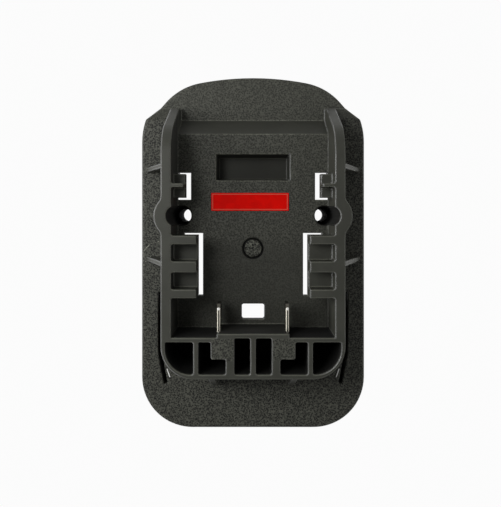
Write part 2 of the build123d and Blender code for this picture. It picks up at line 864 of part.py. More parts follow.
def socket_pieces():
    """The three sockets in their chambers, by node name."""
    return {"positive_socket": socket(-power_half, 1), "negative_socket": socket(power_half, 1),
            "signal_socket": socket(signal_half, signal_scale_share)}


def thin_wires():
    """Signal wire and return wire to the board, by node name."""
    wire_z = connector_floor + leaf_height + socket_tab_rise - signal_lead_radius
    board_top = lug_z + board_thickness
    pad_y = board_y - board_length + wire_pad_inset
    pieces = {}
    routes = {"signal_lead": (signal_half, signal_pad_half), "return_lead": (power_half, return_pad_half)}
    for name, (x, pad) in routes.items():
        points = [(x, socket_end_y, wire_z), (x, socket_end_y + signal_wire_bend * 2, wire_z),
                  (pad, pad_y, wire_z + thin_wire_arch), (pad, pad_y, board_top)]
        pieces[name] = wire(points, signal_lead_radius, signal_wire_bend)
    return pieces


def board_pieces():
    """The board, its resistor and its capacitor, by node name."""
    top = lug_z + board_thickness
    resistor = Pos(-resistor_half, board_y - resistor_offset, top + resistor_radius)
    resistor = resistor * (Rot(0, 90, 0) * Cylinder(resistor_radius, resistor_length))
    capacitor_y = board_y - capacitor_offset
    capacitor = post(capacitor_half, capacitor_y, capacitor_radius, top, top + capacitor_height)
    return {"circuit_board": circuit_board(), "identity_resistor": resistor, "filter_capacitor": capacitor}


def screw_sets():
    """Groups of identical screws, by node name."""
    housing = [screw(x, y, seat, housing_screw_length, 1) for x, y, face, seat, foot, root in screw_places()]
    lugs = [screw(side * lug_half, lug_y, lug_z + lug_thickness, small_screw_length, -1) for side in (-1, 1)]
    board = [screw(side * board_screw_half, board_screw_y, lug_z + board_thickness, small_screw_length, -1)
             for side in (-1, 1)]
    return {"housing_screws": Compound(children=housing), "connector_screws": Compound(children=lugs),
            "board_screws": Compound(children=board)}


def main():
    os.makedirs("parts", exist_ok=True)
    pieces = {"positive_blade": blade(-1), "negative_blade": blade(1), "label": label()}
    pieces["battery_side_shell"] = battery_side_shell(pieces["positive_blade"] + pieces["negative_blade"])
    pieces["tool_side_shell"] = tool_side_shell()
    pieces["connector_block"] = connector_block()
    pieces.update(socket_pieces())
    pieces["positive_lead"] = power_lead(-1)
    pieces["negative_lead"] = power_lead(1)
    pieces.update(thin_wires())
    pieces.update(board_pieces())
    pieces.update(screw_sets())
    pieces["latch_button"] = latch_button()
    pieces["latch_spring_left"] = latch_spring(-spring_half)
    pieces["latch_spring_right"] = latch_spring(spring_half)
    for name, shape in pieces.items():
        tidy(shape, name)


if __name__ == "__main__":
    main()
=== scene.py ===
import math

import bmesh
import bpy
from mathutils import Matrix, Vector


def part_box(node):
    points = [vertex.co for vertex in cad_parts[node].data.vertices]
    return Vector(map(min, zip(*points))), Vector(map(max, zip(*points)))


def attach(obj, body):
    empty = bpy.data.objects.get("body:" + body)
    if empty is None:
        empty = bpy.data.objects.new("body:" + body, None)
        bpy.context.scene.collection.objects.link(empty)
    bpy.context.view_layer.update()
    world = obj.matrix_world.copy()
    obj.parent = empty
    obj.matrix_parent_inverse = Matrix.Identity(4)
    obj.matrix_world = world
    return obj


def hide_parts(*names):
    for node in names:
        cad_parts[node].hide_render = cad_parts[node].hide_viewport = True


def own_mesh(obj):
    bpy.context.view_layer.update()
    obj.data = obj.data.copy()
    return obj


bl_info = {
    "name": "Tool Battery Adapter",
    "version": (1, 0, 0),
    "blender": (4, 5, 0),
    "location": "3D View > Sidebar > Adapter",
    "description": "Finishes the battery adapter: moulded plastic, contacts, film strip, screws and studio",
    "category": "Object",
}

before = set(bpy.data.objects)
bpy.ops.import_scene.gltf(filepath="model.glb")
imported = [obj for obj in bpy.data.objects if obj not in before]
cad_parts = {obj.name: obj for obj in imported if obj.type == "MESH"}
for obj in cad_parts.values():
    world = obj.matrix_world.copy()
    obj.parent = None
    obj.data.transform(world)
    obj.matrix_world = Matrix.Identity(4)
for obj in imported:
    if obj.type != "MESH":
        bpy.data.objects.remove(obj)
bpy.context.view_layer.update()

MM = 0.001


def mm(value):
    """A length in millimetres, in metres."""
    return value * MM


# Sizes and colours a user would change


def colour(name, description, default):
    return bpy.props.FloatVectorProperty(
        name=name, description=description, subtype="COLOR", size=3, min=0.0, max=1.0, default=default)


def length(name, description, default):
    return bpy.props.FloatProperty(
        name=name, description=description, unit="LENGTH", min=0.0, precision=6, default=default)


def factor(name, description, default):
    return bpy.props.FloatProperty(
        name=name, description=description, subtype="FACTOR", min=0.0, max=1.0, default=default)


def power(name, description, default):
    return bpy.props.FloatProperty(name=name, description=description, unit="POWER", min=0.0, default=default)


def amount(name, description, default, least=0.0):
    return bpy.props.FloatProperty(name=name, description=description, min=least, default=default)


class PlasticSettings(bpy.types.PropertyGroup):
    body_colour: colour("Shell colour", "Colour of both shells", (0.046, 0.047, 0.038))
    button_colour: colour("Button colour", "Colour of the latch button", (0.059, 0.059, 0.057))
    connector_colour: colour("Connector colour", "Colour of the tool side contact holder", (0.17, 0.17, 0.16))
    grain_size: length("Grain size", "Size of one pit of the spark-eroded texture", 0.0005)
    grain_depth: length("Grain depth", "Depth of the spark-eroded texture", 0.00006)
    edge_round: length("Edge rounding", "Radius that the light finds on moulded edges", 0.0007)
    # Painted highlight: how much lighter the edges are than the faces
    edge_highlight_tone: amount("Edge tone", "How much paler worn edges are than the faces", 2.9)
    # Painted highlight on the edges that lean to -x, toward the lamps
    left_edge_highlight_colour: colour("Highlight colour", "Colour of edges that rub on the battery", (0.165, 0.167, 0.163))
    glint_colour: colour("Glint colour", "Colour of the bright ends of the two thin slots", (0.7, 0.7, 0.68))
    # Painted shade inside deep cells, bores and shaded faces
    painted_shade_tone: factor("Deep tone", "Tone of the walls inside deep cells and bores", 0.12)
    gloss: factor("Gloss", "Specular level of the plastic", 0.25)


class FilmSettings(bpy.types.PropertyGroup):
    film_colour: colour("Film colour", "Colour of the bare strip", (0.66, 0.003, 0.001))
    border_colour: colour("Border colour", "Colour of the printed border line", (0.62, 0.09, 0.06))
    border_inset: length("Border inset", "Distance from the edge to the border line", 0.00035)
    border_width: length("Border width", "Width of the border line", 0.0002)


class ContactSettings(bpy.types.PropertyGroup):
    blade_colour: colour("Blade colour", "Nickelled brass of the battery blades", (0.62, 0.59, 0.5))
    # Painted highlight at the tips of the blades
    tip_highlight_colour: colour("Tip colour", "Bright spot at the tips of the blades", (0.8, 0.79, 0.76))
    socket_colour: colour("Socket colour", "Bronze of the sprung sockets", (0.6, 0.4, 0.2))
    spring_colour: colour("Spring colour", "Drawn steel wire of the latch springs", (0.55, 0.55, 0.56))
    screw_colour: colour("Screw colour", "Black zinc of the screws", (0.16, 0.16, 0.17))


class WiringSettings(bpy.types.PropertyGroup):
    positive_colour: colour("Positive lead", "Insulation of the positive lead", (0.45, 0.015, 0.012))
    negative_colour: colour("Negative lead", "Insulation of the negative leads", (0.018, 0.018, 0.02))
    signal_colour: colour("Signal lead", "Insulation of the signal lead", (0.62, 0.61, 0.57))
    board_colour: colour("Board colour", "Solder mask of the circuit board", (0.012, 0.12, 0.045))
    pad_colour: colour("Pad colour", "Tinned rings round the board's pads", (0.62, 0.62, 0.6))
    resistor_colour: colour("Resistor colour", "Lacquer of the resistor", (0.5, 0.37, 0.2))
    capacitor_colour: colour("Capacitor sleeve", "Sleeve of the capacitor", (0.02, 0.022, 0.03))
    stripe_colour: colour("Capacitor stripe", "Stripe down the capacitor's sleeve", (0.4, 0.41, 0.42))
    can_colour: colour("Capacitor top", "Bare metal top of the capacitor", (0.62, 0.63, 0.64))


class ScrewSettings(bpy.types.PropertyGroup):
    thread_pitch: length("Thread pitch", "Distance between two turns of the thread", 0.0009)
    thread_depth: length("Thread depth", "Depth of the thread", 0.0003)
    recess_reach: length("Recess reach", "Half width of the cross recess", 0.0013)
    recess_width: length("Recess width", "Width of the cross recess's slots", 0.0006)
    recess_depth: length("Recess depth", "Depth of the cross recess", 0.0009)


class SpringSettings(bpy.types.PropertyGroup):
    wire_diameter: length("Wire diameter", "Diameter of the spring wire", 0.0005)
    active_turns: amount("Active turns", "Turns that open and close", 4.3, least=1.0)
    closed_turns: amount("Closed turns", "Touching turns at each end", 0.9, least=0.1)


class StageSettings(bpy.types.PropertyGroup):
    floor_colour: colour("Floor colour", "Colour of the floor", (0.85, 0.85, 0.85))
    floor_glow: factor("Floor glow", "How much of the floor shows white, the rest keeps the shadow", 0.97)
    floor_radius: length("Floor radius", "Radius of the flat floor", 2.0)
    backdrop_curve: length("Backdrop curve", "Radius of the curve from the floor to the backdrop", 0.8)
    backdrop_height: length("Backdrop height", "Height of the backdrop", 1.5)
    key_power: power("Key power", "Power of the lamp at the upper left", 0.3)
    side_power: power("Side power", "Power of the low lamp on the left", 0.76)
    card_power: power("Card power", "Power of the pale card on the right", 0.34)
    sky_strength: factor("Sky strength", "Strength of the even light from all round", 0.26)


SETTINGS = {
    "adapter_plastic": PlasticSettings,
    "adapter_film": FilmSettings,
    "adapter_contacts": ContactSettings,
    "adapter_wiring": WiringSettings,
    "adapter_screws": ScrewSettings,
    "adapter_springs": SpringSettings,
    "adapter_stage": StageSettings,
}


# Values inside the shared effects

# Share of pits and of coarse noise in the grain's height, and the heights that are darkest and palest
PIT_SHARE = 0.45
COARSE_SHARE = 0.75
GRAIN_SPAN = (0.46, 0.74)
MOTTLE_SPAN = (0.35, 0.65)
LINE_SPAN = (0.35, 0.7)

# How alike the rounded and the flat normal are on a face and on an edge, and how far an edge leans to -x,
# toward the lamps, for painted highlights
EDGE_SPAN = (0.996, 0.95)
LEFT_SPAN = (-0.06, -0.25)
EDGE_SAMPLES = 8


# Tones and roughness of the moulded plastic

# Tones are shares of the plastic's colour, from the pits to the tops of the grain
GRAIN_TONES = (0.42, 1.42)
COARSE_TONES = (0.02, 1.48)
# Calmer grain with painted shade on the lower floor
SHADED_FLOOR_TONES = (0.62, 0.88)
SMOOTH_TONES = (0.78, 0.89)
SPECKLE_TONES = (0.02, 2.7)
RING_TONE = 0.12
SCRATCH_TONE = 6.0

# Roughness from the pits to the tops of the grain, and how far the mottle changes that of smooth faces
GRAIN_ROUGHNESS = (0.7, 0.52)
SMOOTH_CHANGE = (-0.03, 0.05)
EDGE_ROUGHNESS = 0.27
DEEP_ROUGHNESS = 0.95

# How much further than its rounding an edge turns to the light
EDGE_SPREAD = 0.9


# Places on the shells, in millimetres

# Each span has a low end, a high end and how softly it ends. Side is the distance from the middle plane.
# lean_x, lean_y and up say how far the surface faces along x, y and z. A share makes the place weaker.
# LEAST lies below every height and distance, MOST beyond every side and y, and FULL beyond every direction.
LEAST = -1.0
MOST = 60.0
FULL = 1.5
UPWARD = {"up": (0.8, FULL, 0.1)}
FLOOR = {"z": (24.1, 24.9, 0.15)}
PLATES = {"z": (19.6, 20.2, 0.15)}
HOOD = {"z": (14.0, 15.3, 0.15)}
BLOCK_TOPS = {"z": (39.8, 41.0, 0.1), "y": (-44.0, -37.5, 0.3), "side": (6.0, 12.6, 0.3)}
BLOCK_COARSENESS = 0.5
SIDE_SKIRT = {"z": (LEAST, 19.4, 0.3), "side": (29.5, MOST, 0.5), "share": 0.7}
FRONT_SKIRT = {"z": (LEAST, 14.6, 0.3), "y": (38.0, MOST, 0.5), "share": 0.7}
# Lower floor: calmer grain with painted shade
SHADED_LOWER_FLOOR = {"y": (-60.0, -14.0, 9.0), "share": 0.8}

# Painted shade: cells of the block, bores, latch pocket, the block's front face and the left wall's shaded
# face
CELL_DEPTH = {"z": (10.0, 38.6, 0.8)}
MIDDLE_CELLS = {"side": (LEAST, 18.1, 0.1), "y": (-48.6, -37.0, 0.1)}
END_CELLS = {"side": (18.1, 27.2, 0.1), "y": (-39.7, -37.0, 0.1)}
ROUND_CELLS = {"y": (-60.0, -37.0, 0.1)}
ROUND_CENTRE = (18.1, -39.7)
ROUND_RADIUS = 9.35
BORE_DEPTH = {"z": (LEAST, 38.6, 0.8)}
BORE_CENTRE = (23.55, 0.0)
BORE_RADIUS = 3.4
LATCH_POCKET = {"z": (18.0, 23.7, 0.3), "y": (11.4, 20.5, 0.1), "side": (LEAST, 12.4, 0.1), "share": 0.42}
BLOCK_FACE = {"z": (25.4, 39.0, 0.4), "side": (LEAST, 10.2, 0.2), "y": (-37.5, -33.0, 0.3),
              "lean_y": (0.5, FULL, 0.1), "share": 0.8}
SHADED_WALL = {"lean_x": (0.5, FULL, 0.1), "x": (-26.5, -16.0, 0.3), "z": (24.9, 39.3, 0.3),
               "y": (-37.5, 36.0, 0.5), "share": 0.6}

# Without painted edge highlights: the foot of the walls. Painted glint: the lower ends of the two thin slots,
# found across them
WALL_FOOT = {"z": (23.0, 25.4, 0.2), "side": (24.0, 26.0, 0.2), "share": 0.75}
SLOT_END = {"y": (-54.6, -52.2, 0.4), "z": (19.0, 21.0, 0.2)}
SLOT_DIRECTION = (0.945, 0.326)
SLOT_EDGE = (44.42, 44.66, 0.08)

# Round mark in the floor: its centre, and its ring, disc and plain ground as distances from there
MARK_CENTRE = (0.0, -10.9)
MARK_HEIGHT = {"z": (23.0, 24.9, 0.15)}
MARK_RING = (2.95, 3.45, 0.12)
MARK_DISC = (LEAST, 2.85, 0.1)
MARK_GROUND = (LEAST, 4.1, 0.1)
MARK_GRAIN = 0.58

# Hairline scratches on the left plate: arc centre, radius and the span in y
HAIRLINES = ((-31.2, -15.5, 6.7, -12.7, -8.6), (-36.4, -4.2, 6.2, -3.4, 1.2),
             (-30.6, -19.4, 6.9, -17.2, -13.4))
HAIRLINE_WIDTH = 0.05


# Places and finishes of the other pieces, in millimetres

# Blades: the painted highlight spot's distance from the middle plane and from the blade's end, and its
# radius. The nose with painted shade starts and ends so far past that spot. The rims with painted highlights
# are found by how far they lean to the side
SPOT_SIDE = 10.75
SPOT_SETBACK = 1.45
SPOT_RADIUS = 0.38
NOSE_START = 0.4
NOSE_END = 9.0
RIM_SLOPE = (0.16, 0.93, 0.05)

# Metal lines: how fine they are along each axis on drawn wire, rolled strip and turned screws
WIRE_LINES = (6.0, 6.0, 2.0)
STRIP_LINES = (9.0, 0.7, 9.0)
TURNED_LINES = (5.0, 5.0, 5.0)
TARNISH = 0.4
TARNISH_TINT = (0.8, 0.72, 0.6)
METAL_EDGE = 0.12

# Circuit board: how many tracks lie in a millimetre, their share of that, the tracked width and the pads
TRACK_COUNT = 0.42
TRACK_BAND = (0.35, 0.65, 0.05)
TRACKED_WIDTH = (-9.0, 9.0, 0.2)
TRACK_HEIGHT = 0.035
PADS = ((3.4, -9.0), (6.4, -9.0), (-7.2, -2.8), (-0.8, -2.8))
PAD_RADIUS = 1.1

# Resistor bands: where each starts as a share of the resistor's length, and its colour
BANDS = ((0.2, (0.09, 0.03, 0.015)), (0.36, (0.02, 0.02, 0.02)), (0.52, (0.5, 0.12, 0.01)),
         (0.78, (0.5, 0.34, 0.08)))
BAND_SHARE = 0.08

# Capacitor stripe: from inside the edge of the can to past it
STRIPE_START = 0.5
STRIPE_END = 1.0

# Depth of fine lines and mottle
FINE_DEPTH = 0.01


# Shader helpers


def feed(tree, value, socket):
    """Gives a socket another socket's value, or a plain number, vector or colour."""
    if isinstance(value, bpy.types.NodeSocket):
        tree.links.new(value, socket)
    elif socket.type == "RGBA":
        socket.default_value = (*value[:3], 1.0)
    else:
        socket.default_value = value


def fill(tree, made, **values):
    """Feeds a node's sockets, named with underscores for spaces, and sets its attributes."""
    for name, value in values.items():
        label = name.replace("_", " ")
        if label in made.inputs:
            feed(tree, value, made.inputs[label])
        else:
            setattr(made, name, value)
    return made


def node(tree, kind, **values):
    """A shader node of a kind such as Math, with its sockets fed and its attributes set."""
    return fill(tree, tree.nodes.new("ShaderNode" + kind), **values)


def math_node(tree, operation, *values, clamp=False):
    """Output of a Math node fed by sockets or plain numbers."""
    made = node(tree, "Math", operation=operation, use_clamp=clamp)
    for value, socket in zip(values, made.inputs):
        feed(tree, value, socket)
    return made.outputs[0]


def vector_node(tree, operation, *vectors, **values):
    """Outputs of a Vector Math node fed by sockets or plain vectors."""
    made = node(tree, "VectorMath", operation=operation, **values)
    for vector, socket in zip(vectors, made.inputs):
        feed(tree, vector, socket)
    return made.outputs


def ramp(tree, value, start, end, kind="LINEAR"):
    """Runs from 0 where value is at start to 1 where it is at end."""
    made = node(tree, "MapRange", interpolation_type=kind, Value=value, From_Min=start, From_Max=end)
    return made.outputs[0]


def between(tree, value, low, high, soft):
    """A mask that is 1 where value lies between low and high, and falls off over soft on both sides."""
    rise = ramp(tree, value, low - soft, low, "SMOOTHSTEP")
    fall = ramp(tree, value, high + soft, high, "SMOOTHSTEP")
    return product(tree, rise, fall)


def largest(tree, *masks):
    """The largest of some masks at each point."""
    result = masks[0]
    for mask in masks[1:]:
        result = math_node(tree, "MAXIMUM", result, mask)
    return result


def product(tree, *masks):
    """Some masks multiplied together."""
    result = masks[0]
    for mask in masks[1:]:
        result = math_node(tree, "MULTIPLY", result, mask)
    return result


def opposite(tree, mask):
    """1 where a mask is 0, and 0 where it is 1."""
    return math_node(tree, "SUBTRACT", 1.0, mask)


def distance(tree, x, y, centre):
    """Distance in plan from an upright axis, in millimetres."""
    squares = [math_node(tree, "POWER", math_node(tree, "SUBTRACT", value, middle), 2.0)
               for value, middle in zip((x, y), centre)]
    return math_node(tree, "SQRT", math_node(tree, "ADD", *squares))


def near(tree, x, y, centre, radius):
    """A mask that is 1 inside a circle in plan."""
    return between(tree, distance(tree, x, y, centre), LEAST, radius, 0.1)


def blend_colour(tree, mask, first, second):
    """A colour that runs from first to second by a mask. Each is a socket or a plain colour."""
    made = node(tree, "Mix", data_type="RGBA", Factor=mask)
    for name, value in (("A", first), ("B", second)):
        feed(tree, value, [s for s in made.inputs if s.name == name and s.type == "RGBA"][0])
    return [s for s in made.outputs if s.type == "RGBA"][0]


def blend_value(tree, mask, first, second):
    """A number that runs from first to second by a mask."""
    return node(tree, "MapRange", Value=mask, To_Min=first, To_Max=second).outputs[0]


def shade(colour_value, share):
    """A colour made lighter or darker by a share."""
    return tuple(min(1.0, channel * share) for channel in colour_value)


def blend_shades(tree, mask, base, first, second):
    """A colour that runs from one share of its base to another by a mask."""
    return blend_colour(tree, mask, shade(base, first), shade(base, second))


def new_material(name):
    """An empty material, its tree and its Principled shader."""
    material = bpy.data.materials.new(name)
    material.use_nodes = True
    shader = material.node_tree.nodes["Principled BSDF"]
    return material, material.node_tree, shader


def millimetres(tree):
    """The piece's own coordinates in millimetres."""
    place = node(tree, "TexCoord").outputs["Object"]
    return vector_node(tree, "SCALE", place, Scale=1 / MM)[0]


def parts_of(tree, vector):
    """The x, y and z of a vector."""
    return node(tree, "SeparateXYZ", Vector=vector).outputs


def axes_of(tree, place):
    """The place along each axis, its side of the middle plane and the way the surface faces, by name."""
    facing = node(tree, "TexCoord").outputs["Normal"]
    axes = dict(zip(("x", "y", "z"), parts_of(tree, place)))
    axes.update(zip(("lean_x", "lean_y", "up"), parts_of(tree, facing)))
    axes["side"] = math_node(tree, "ABSOLUTE", axes["x"])
    return axes


def region(tree, axes, limits):
    """A mask of one of the places listed above."""
    masks = [between(tree, axes[name], *span) for name, span in limits.items() if name != "share"]
    if "share" in limits:
        masks.append(limits["share"])
    return product(tree, *masks)


# Effects that several materials share

FLOAT = "NodeSocketFloat"
VECTOR = "NodeSocketVector"


def group(name, inputs, outputs):
    """A new shader node group with its group input and output nodes."""
    tree = bpy.data.node_groups.new(name, "ShaderNodeTree")
    for label, kind, default in inputs:
        socket = tree.interface.new_socket(name=label, in_out="INPUT", socket_type=kind)
        if default is not None:
            socket.default_value = default
    for label, kind in outputs:
        tree.interface.new_socket(name=label, in_out="OUTPUT", socket_type=kind)
    return tree, tree.nodes.new("NodeGroupInput").outputs, tree.nodes.new("NodeGroupOutput")


def place_group(tree, name, **values):
    """Outputs of a group node with its values set or linked."""
    return node(tree, "Group", node_tree=bpy.data.node_groups[name], **values).outputs


def make_grain_group():
    """Spark-eroded mould texture: closely packed shallow pits of uneven size."""
    tree, start, end = group(
        "Spark Grain",
        [("Place", VECTOR, None), ("Size", FLOAT, 0.6)],
        [("Height", FLOAT), ("Shade", FLOAT)])
    scale = math_node(tree, "DIVIDE", 1.0, start["Size"])
    pits = node(tree, "TexVoronoi", feature="F1", Randomness=1.0)
    coarse = node(tree, "TexNoise", Detail=3.0, Roughness=0.65)
    for texture in (pits, coarse):
        fill(tree, texture, Vector=start["Place"], Scale=scale)
    height = math_node(tree, "ADD", product(tree, pits.outputs["Distance"], PIT_SHARE),
                       product(tree, coarse.outputs["Fac"], COARSE_SHARE))
    fill(tree, end, Height=height, Shade=ramp(tree, height, *GRAIN_SPAN))


def make_mottle_group():
    """Broad soft changes of tone, as moulded or printed surfaces have."""
    tree, start, end = group(
        "Soft Mottle",
        [("Place", VECTOR, None), ("Size", FLOAT, 8.0)],
        [("Mask", FLOAT)])
    scale = math_node(tree, "DIVIDE", 1.0, start["Size"])
    noise = node(tree, "TexNoise", Detail=4.0, Roughness=0.55, Distortion=0.6,
                 Vector=start["Place"], Scale=scale)
    fill(tree, end, Mask=ramp(tree, noise.outputs["Fac"], *MOTTLE_SPAN, "SMOOTHSTEP"))


def make_rolling_group():
    """Fine lines along one direction, as rolled strip and drawn wire have."""
    tree, start, end = group(
        "Rolling Lines",
        [("Place", VECTOR, None), ("Stretch", VECTOR, (8.0, 0.6, 8.0))],
        [("Height", FLOAT), ("Mask", FLOAT)])
    stretched = vector_node(tree, "MULTIPLY", start["Place"], start["Stretch"])[0]
    noise = node(tree, "TexNoise", Scale=1.0, Detail=3.0, Roughness=0.6, Vector=stretched)
    lines = noise.outputs["Fac"]
    fill(tree, end, Height=lines, Mask=ramp(tree, lines, *LINE_SPAN))


def make_edge_group():
    """Edges for painted highlights: where they are, where they lean to -x toward the lamps, and their rounded
    normal.

    Spread turns that normal further from the face, so that an edge catches light over more of its width.
    """
    tree, start, end = group(
        "Edge Highlights",
        [("Radius", FLOAT, mm(0.7)), ("Spread", FLOAT, 0.0)],
        [("Mask", FLOAT), ("Left", FLOAT), ("Normal", VECTOR)])
    rounded = node(tree, "Bevel", samples=EDGE_SAMPLES, Radius=start["Radius"]).outputs[0]
    face = node(tree, "NewGeometry").outputs["True Normal"]
    likeness = vector_node(tree, "DOT_PRODUCT", rounded, face)["Value"]
    turn = vector_node(tree, "SUBTRACT", rounded, face)[0]
    more = vector_node(tree, "SCALE", turn, Scale=start["Spread"])[0]
    total = vector_node(tree, "ADD", rounded, more)[0]
    left = ramp(tree, parts_of(tree, rounded)[0], *LEFT_SPAN)
    unit = vector_node(tree, "NORMALIZE", total)[0]
    fill(tree, end, Mask=ramp(tree, likeness, *EDGE_SPAN), Left=left, Normal=unit)


def mottle_mask(tree, place, size):
    """Mask of the soft mottle, with patches of a size in millimetres."""
    return place_group(tree, "Soft Mottle", Place=place, Size=size)["Mask"]


def bump(tree, shader, height, depth, strength, normal=None):
    """Feeds a height to the shader's normal."""
    made = node(tree, "Bump", Strength=strength, Distance=depth, Height=height)
    if normal is not None:
        fill(tree, made, Normal=normal)
    fill(tree, shader, Normal=made.outputs[0])


def finish_with(name, material):
    """Gives a CAD node its material, linked to the object in each of its slots."""
    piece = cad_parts[name]
    if not piece.material_slots:
        raise RuntimeError(f"node {name} has no material slot to fill")
    for place in piece.material_slots:
        place.link = "OBJECT"
        place.material = material


# Materials


def moulded_plastic(name, base, settings, masks, grain_share=1.0, smooth_roughness=0.5):
    """Moulded plastic with painted highlights on its edges. masks(tree, place) gives where it is eroded,
    coarse, worn (calmer grain with painted shade), deep (painted shade) and so on.
    """
    material, tree, shader = new_material(name)
    place = millimetres(tree)
    where = masks(tree, place)
    grain = place_group(tree, "Spark Grain", Place=place, Size=settings.grain_size / MM * grain_share)
    mottle = mottle_mask(tree, place, size=9.0)
    edges = place_group(tree, "Edge Highlights", Radius=settings.edge_round, Spread=EDGE_SPREAD)
    edge = edges["Mask"]
    if "plain" in where:
        edge = product(tree, edge, opposite(tree, where["plain"]))
    where["edge"] = edge
    pit_tone, top_tone = GRAIN_TONES
    # worn: calmer grain with painted shade on the lower floor
    for finish, (low, high) in (("coarse", COARSE_TONES), ("worn", SHADED_FLOOR_TONES)):
        if finish in where:
            pit_tone = blend_value(tree, where[finish], pit_tone, low)
            top_tone = blend_value(tree, where[finish], top_tone, high)
    rough_tone = blend_value(tree, grain["Shade"], pit_tone, top_tone)
    smooth_tone = blend_value(tree, mottle, *SMOOTH_TONES)
    tone = blend_value(tree, where["eroded"], smooth_tone, rough_tone)
    # Painted highlights make the edges lighter, and painted shade makes deep places darker
    shares = (("edge", settings.edge_highlight_tone), ("deep", settings.painted_shade_tone), ("scratches", SCRATCH_TONE))
    for finish, share in shares:
        if finish in where:
            tone = product(tree, tone, blend_value(tree, where[finish], 1.0, share))
    if "pattern" in where:
        tone = product(tree, tone, where["pattern"])
    shown = vector_node(tree, "SCALE", base, Scale=tone)[0]
    # Painted highlight on edges that lean to -x, toward the lamps
    left_edge_highlight = product(tree, edge, edges["Left"])
    if "deep" in where:
        left_edge_highlight = product(tree, left_edge_highlight, opposite(tree, where["deep"]))
    shown = blend_colour(tree, left_edge_highlight, shown, settings.left_edge_highlight_colour)
    if "glint" in where:
        shown = blend_colour(tree, where["glint"], shown, settings.glint_colour)
    rough = blend_value(tree, grain["Shade"], *GRAIN_ROUGHNESS)
    smooth = blend_value(tree, mottle, *[smooth_roughness + change for change in SMOOTH_CHANGE])
    roughness = blend_value(tree, edge, blend_value(tree, where["eroded"], smooth, rough), EDGE_ROUGHNESS)
    if "deep" in where:
        roughness = blend_value(tree, where["deep"], roughness, DEEP_ROUGHNESS)
    fill(tree, shader, Base_Color=shown, Roughness=roughness, Specular_IOR_Level=settings.gloss)
    height = product(tree, grain["Height"], where["eroded"])
    bump(tree, shader, height, settings.grain_depth, strength=0.9, normal=edges["Normal"])
    return material


def receptacle_masks(tree, place):
    """Eroded on flats and skirts, coarse on plates and block tops, painted shade in cells, bores and shaded
    faces.
    """
    axes = axes_of(tree, place)
    x, y, side = axes["x"], axes["y"], axes["side"]
    upward = region(tree, axes, UPWARD)
    floor, plates, hood, tops = [region(tree, axes, limits) for limits in (FLOOR, PLATES, HOOD, BLOCK_TOPS)]
    flats = product(tree, upward, largest(tree, floor, plates, hood, tops))
    skirts = [region(tree, axes, limits) for limits in (SIDE_SKIRT, FRONT_SKIRT)]
    rounds = product(tree, near(tree, side, y, ROUND_CENTRE, ROUND_RADIUS), region(tree, axes, ROUND_CELLS))
    cells = largest(tree, region(tree, axes, MIDDLE_CELLS), region(tree, axes, END_CELLS), rounds)
    cored = product(tree, region(tree, axes, CELL_DEPTH), cells)
    dark = [region(tree, axes, limits) for limits in (LATCH_POCKET, BLOCK_FACE, SHADED_WALL)]
    along_side, along_y = SLOT_DIRECTION
    across = math_node(tree, "SUBTRACT", product(tree, side, along_side), product(tree, y, along_y))
    arcs = []
    for centre_x, centre_y, radius, low, high in HAIRLINES:
        away = distance(tree, x, y, (centre_x, centre_y))
        line = between(tree, away, radius, radius + HAIRLINE_WIDTH, 0.07)
        arcs.append(product(tree, line, between(tree, y, low, high, 0.6)))
    away = distance(tree, x, y, MARK_CENTRE)
    at_floor = region(tree, axes, MARK_HEIGHT)
    ring, disc, ground = [product(tree, at_floor, between(tree, away, *span))
                          for span in (MARK_RING, MARK_DISC, MARK_GROUND)]
    speckle = place_group(tree, "Spark Grain", Place=place, Size=MARK_GRAIN)["Shade"]
    speckled = blend_value(tree, disc, 1.0, blend_value(tree, speckle, *SPECKLE_TONES))
    return {
        "eroded": largest(tree, flats, *skirts),
        "coarse": largest(tree, product(tree, plates, upward), product(tree, tops, BLOCK_COARSENESS)),
        # Calmer grain with painted shade on the lower floor
        "worn": product(tree, floor, upward, region(tree, axes, SHADED_LOWER_FLOOR)),
        # Painted shade in deep places
        "deep": largest(tree, cored, bore_mask(tree, axes), *dark),
        "glint": product(tree, between(tree, across, *SLOT_EDGE), region(tree, axes, SLOT_END)),
        "scratches": product(tree, plates, upward, largest(tree, *arcs)),
        "plain": largest(tree, plates, region(tree, axes, WALL_FOOT), ground),
        "pattern": product(tree, speckled, blend_value(tree, ring, 1.0, RING_TONE)),
    }


def bore_mask(tree, axes):
    """1 inside the two fixing bores, below their rim."""
    inside = near(tree, axes["side"], axes["y"], BORE_CENTRE, BORE_RADIUS)
    return product(tree, region(tree, axes, BORE_DEPTH), inside)


def outside_masks(tree, place):
    """Eroded all over, as on the tool side shell and the button, with painted shade in the bores."""
    eroded = blend_value(tree, mottle_mask(tree, place, size=14.0), 0.75, 0.9)
    return {"eroded": eroded, "deep": bore_mask(tree, axes_of(tree, place))}


def holder_masks(tree, place):
    """Nearly smooth, as on the contact holder."""
    return {"eroded": blend_value(tree, mottle_mask(tree, place, size=5.0), 0.1, 0.22)}


def film_material(settings):
    """Printed film with a thin paler border line, bare inside."""
    material, tree, shader = new_material("red_film")
    place = millimetres(tree)
    low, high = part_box("label")
    edges = []
    for along, start, end in zip(parts_of(tree, place), low[:2], high[:2]):
        away = math_node(tree, "ABSOLUTE", math_node(tree, "SUBTRACT", along, (start + end) / 2 / MM))
        edges.append(math_node(tree, "SUBTRACT", (end - start) / 2 / MM, away))
    nearest = math_node(tree, "MINIMUM", *edges)
    inset = settings.border_inset / MM
    lines = between(tree, nearest, inset, inset + settings.border_width / MM, 0.06)
    mottle = mottle_mask(tree, place, size=3.0)
    film = blend_shades(tree, mottle, settings.film_colour, 0.93, 1.06)
    fill(tree, shader, Base_Color=blend_colour(tree, lines, film, settings.border_colour),
         Roughness=blend_value(tree, mottle, 0.5, 0.58), Specular_IOR_Level=0.04)
    bump(tree, shader, mottle, mm(FINE_DEPTH), strength=0.4)
    return material


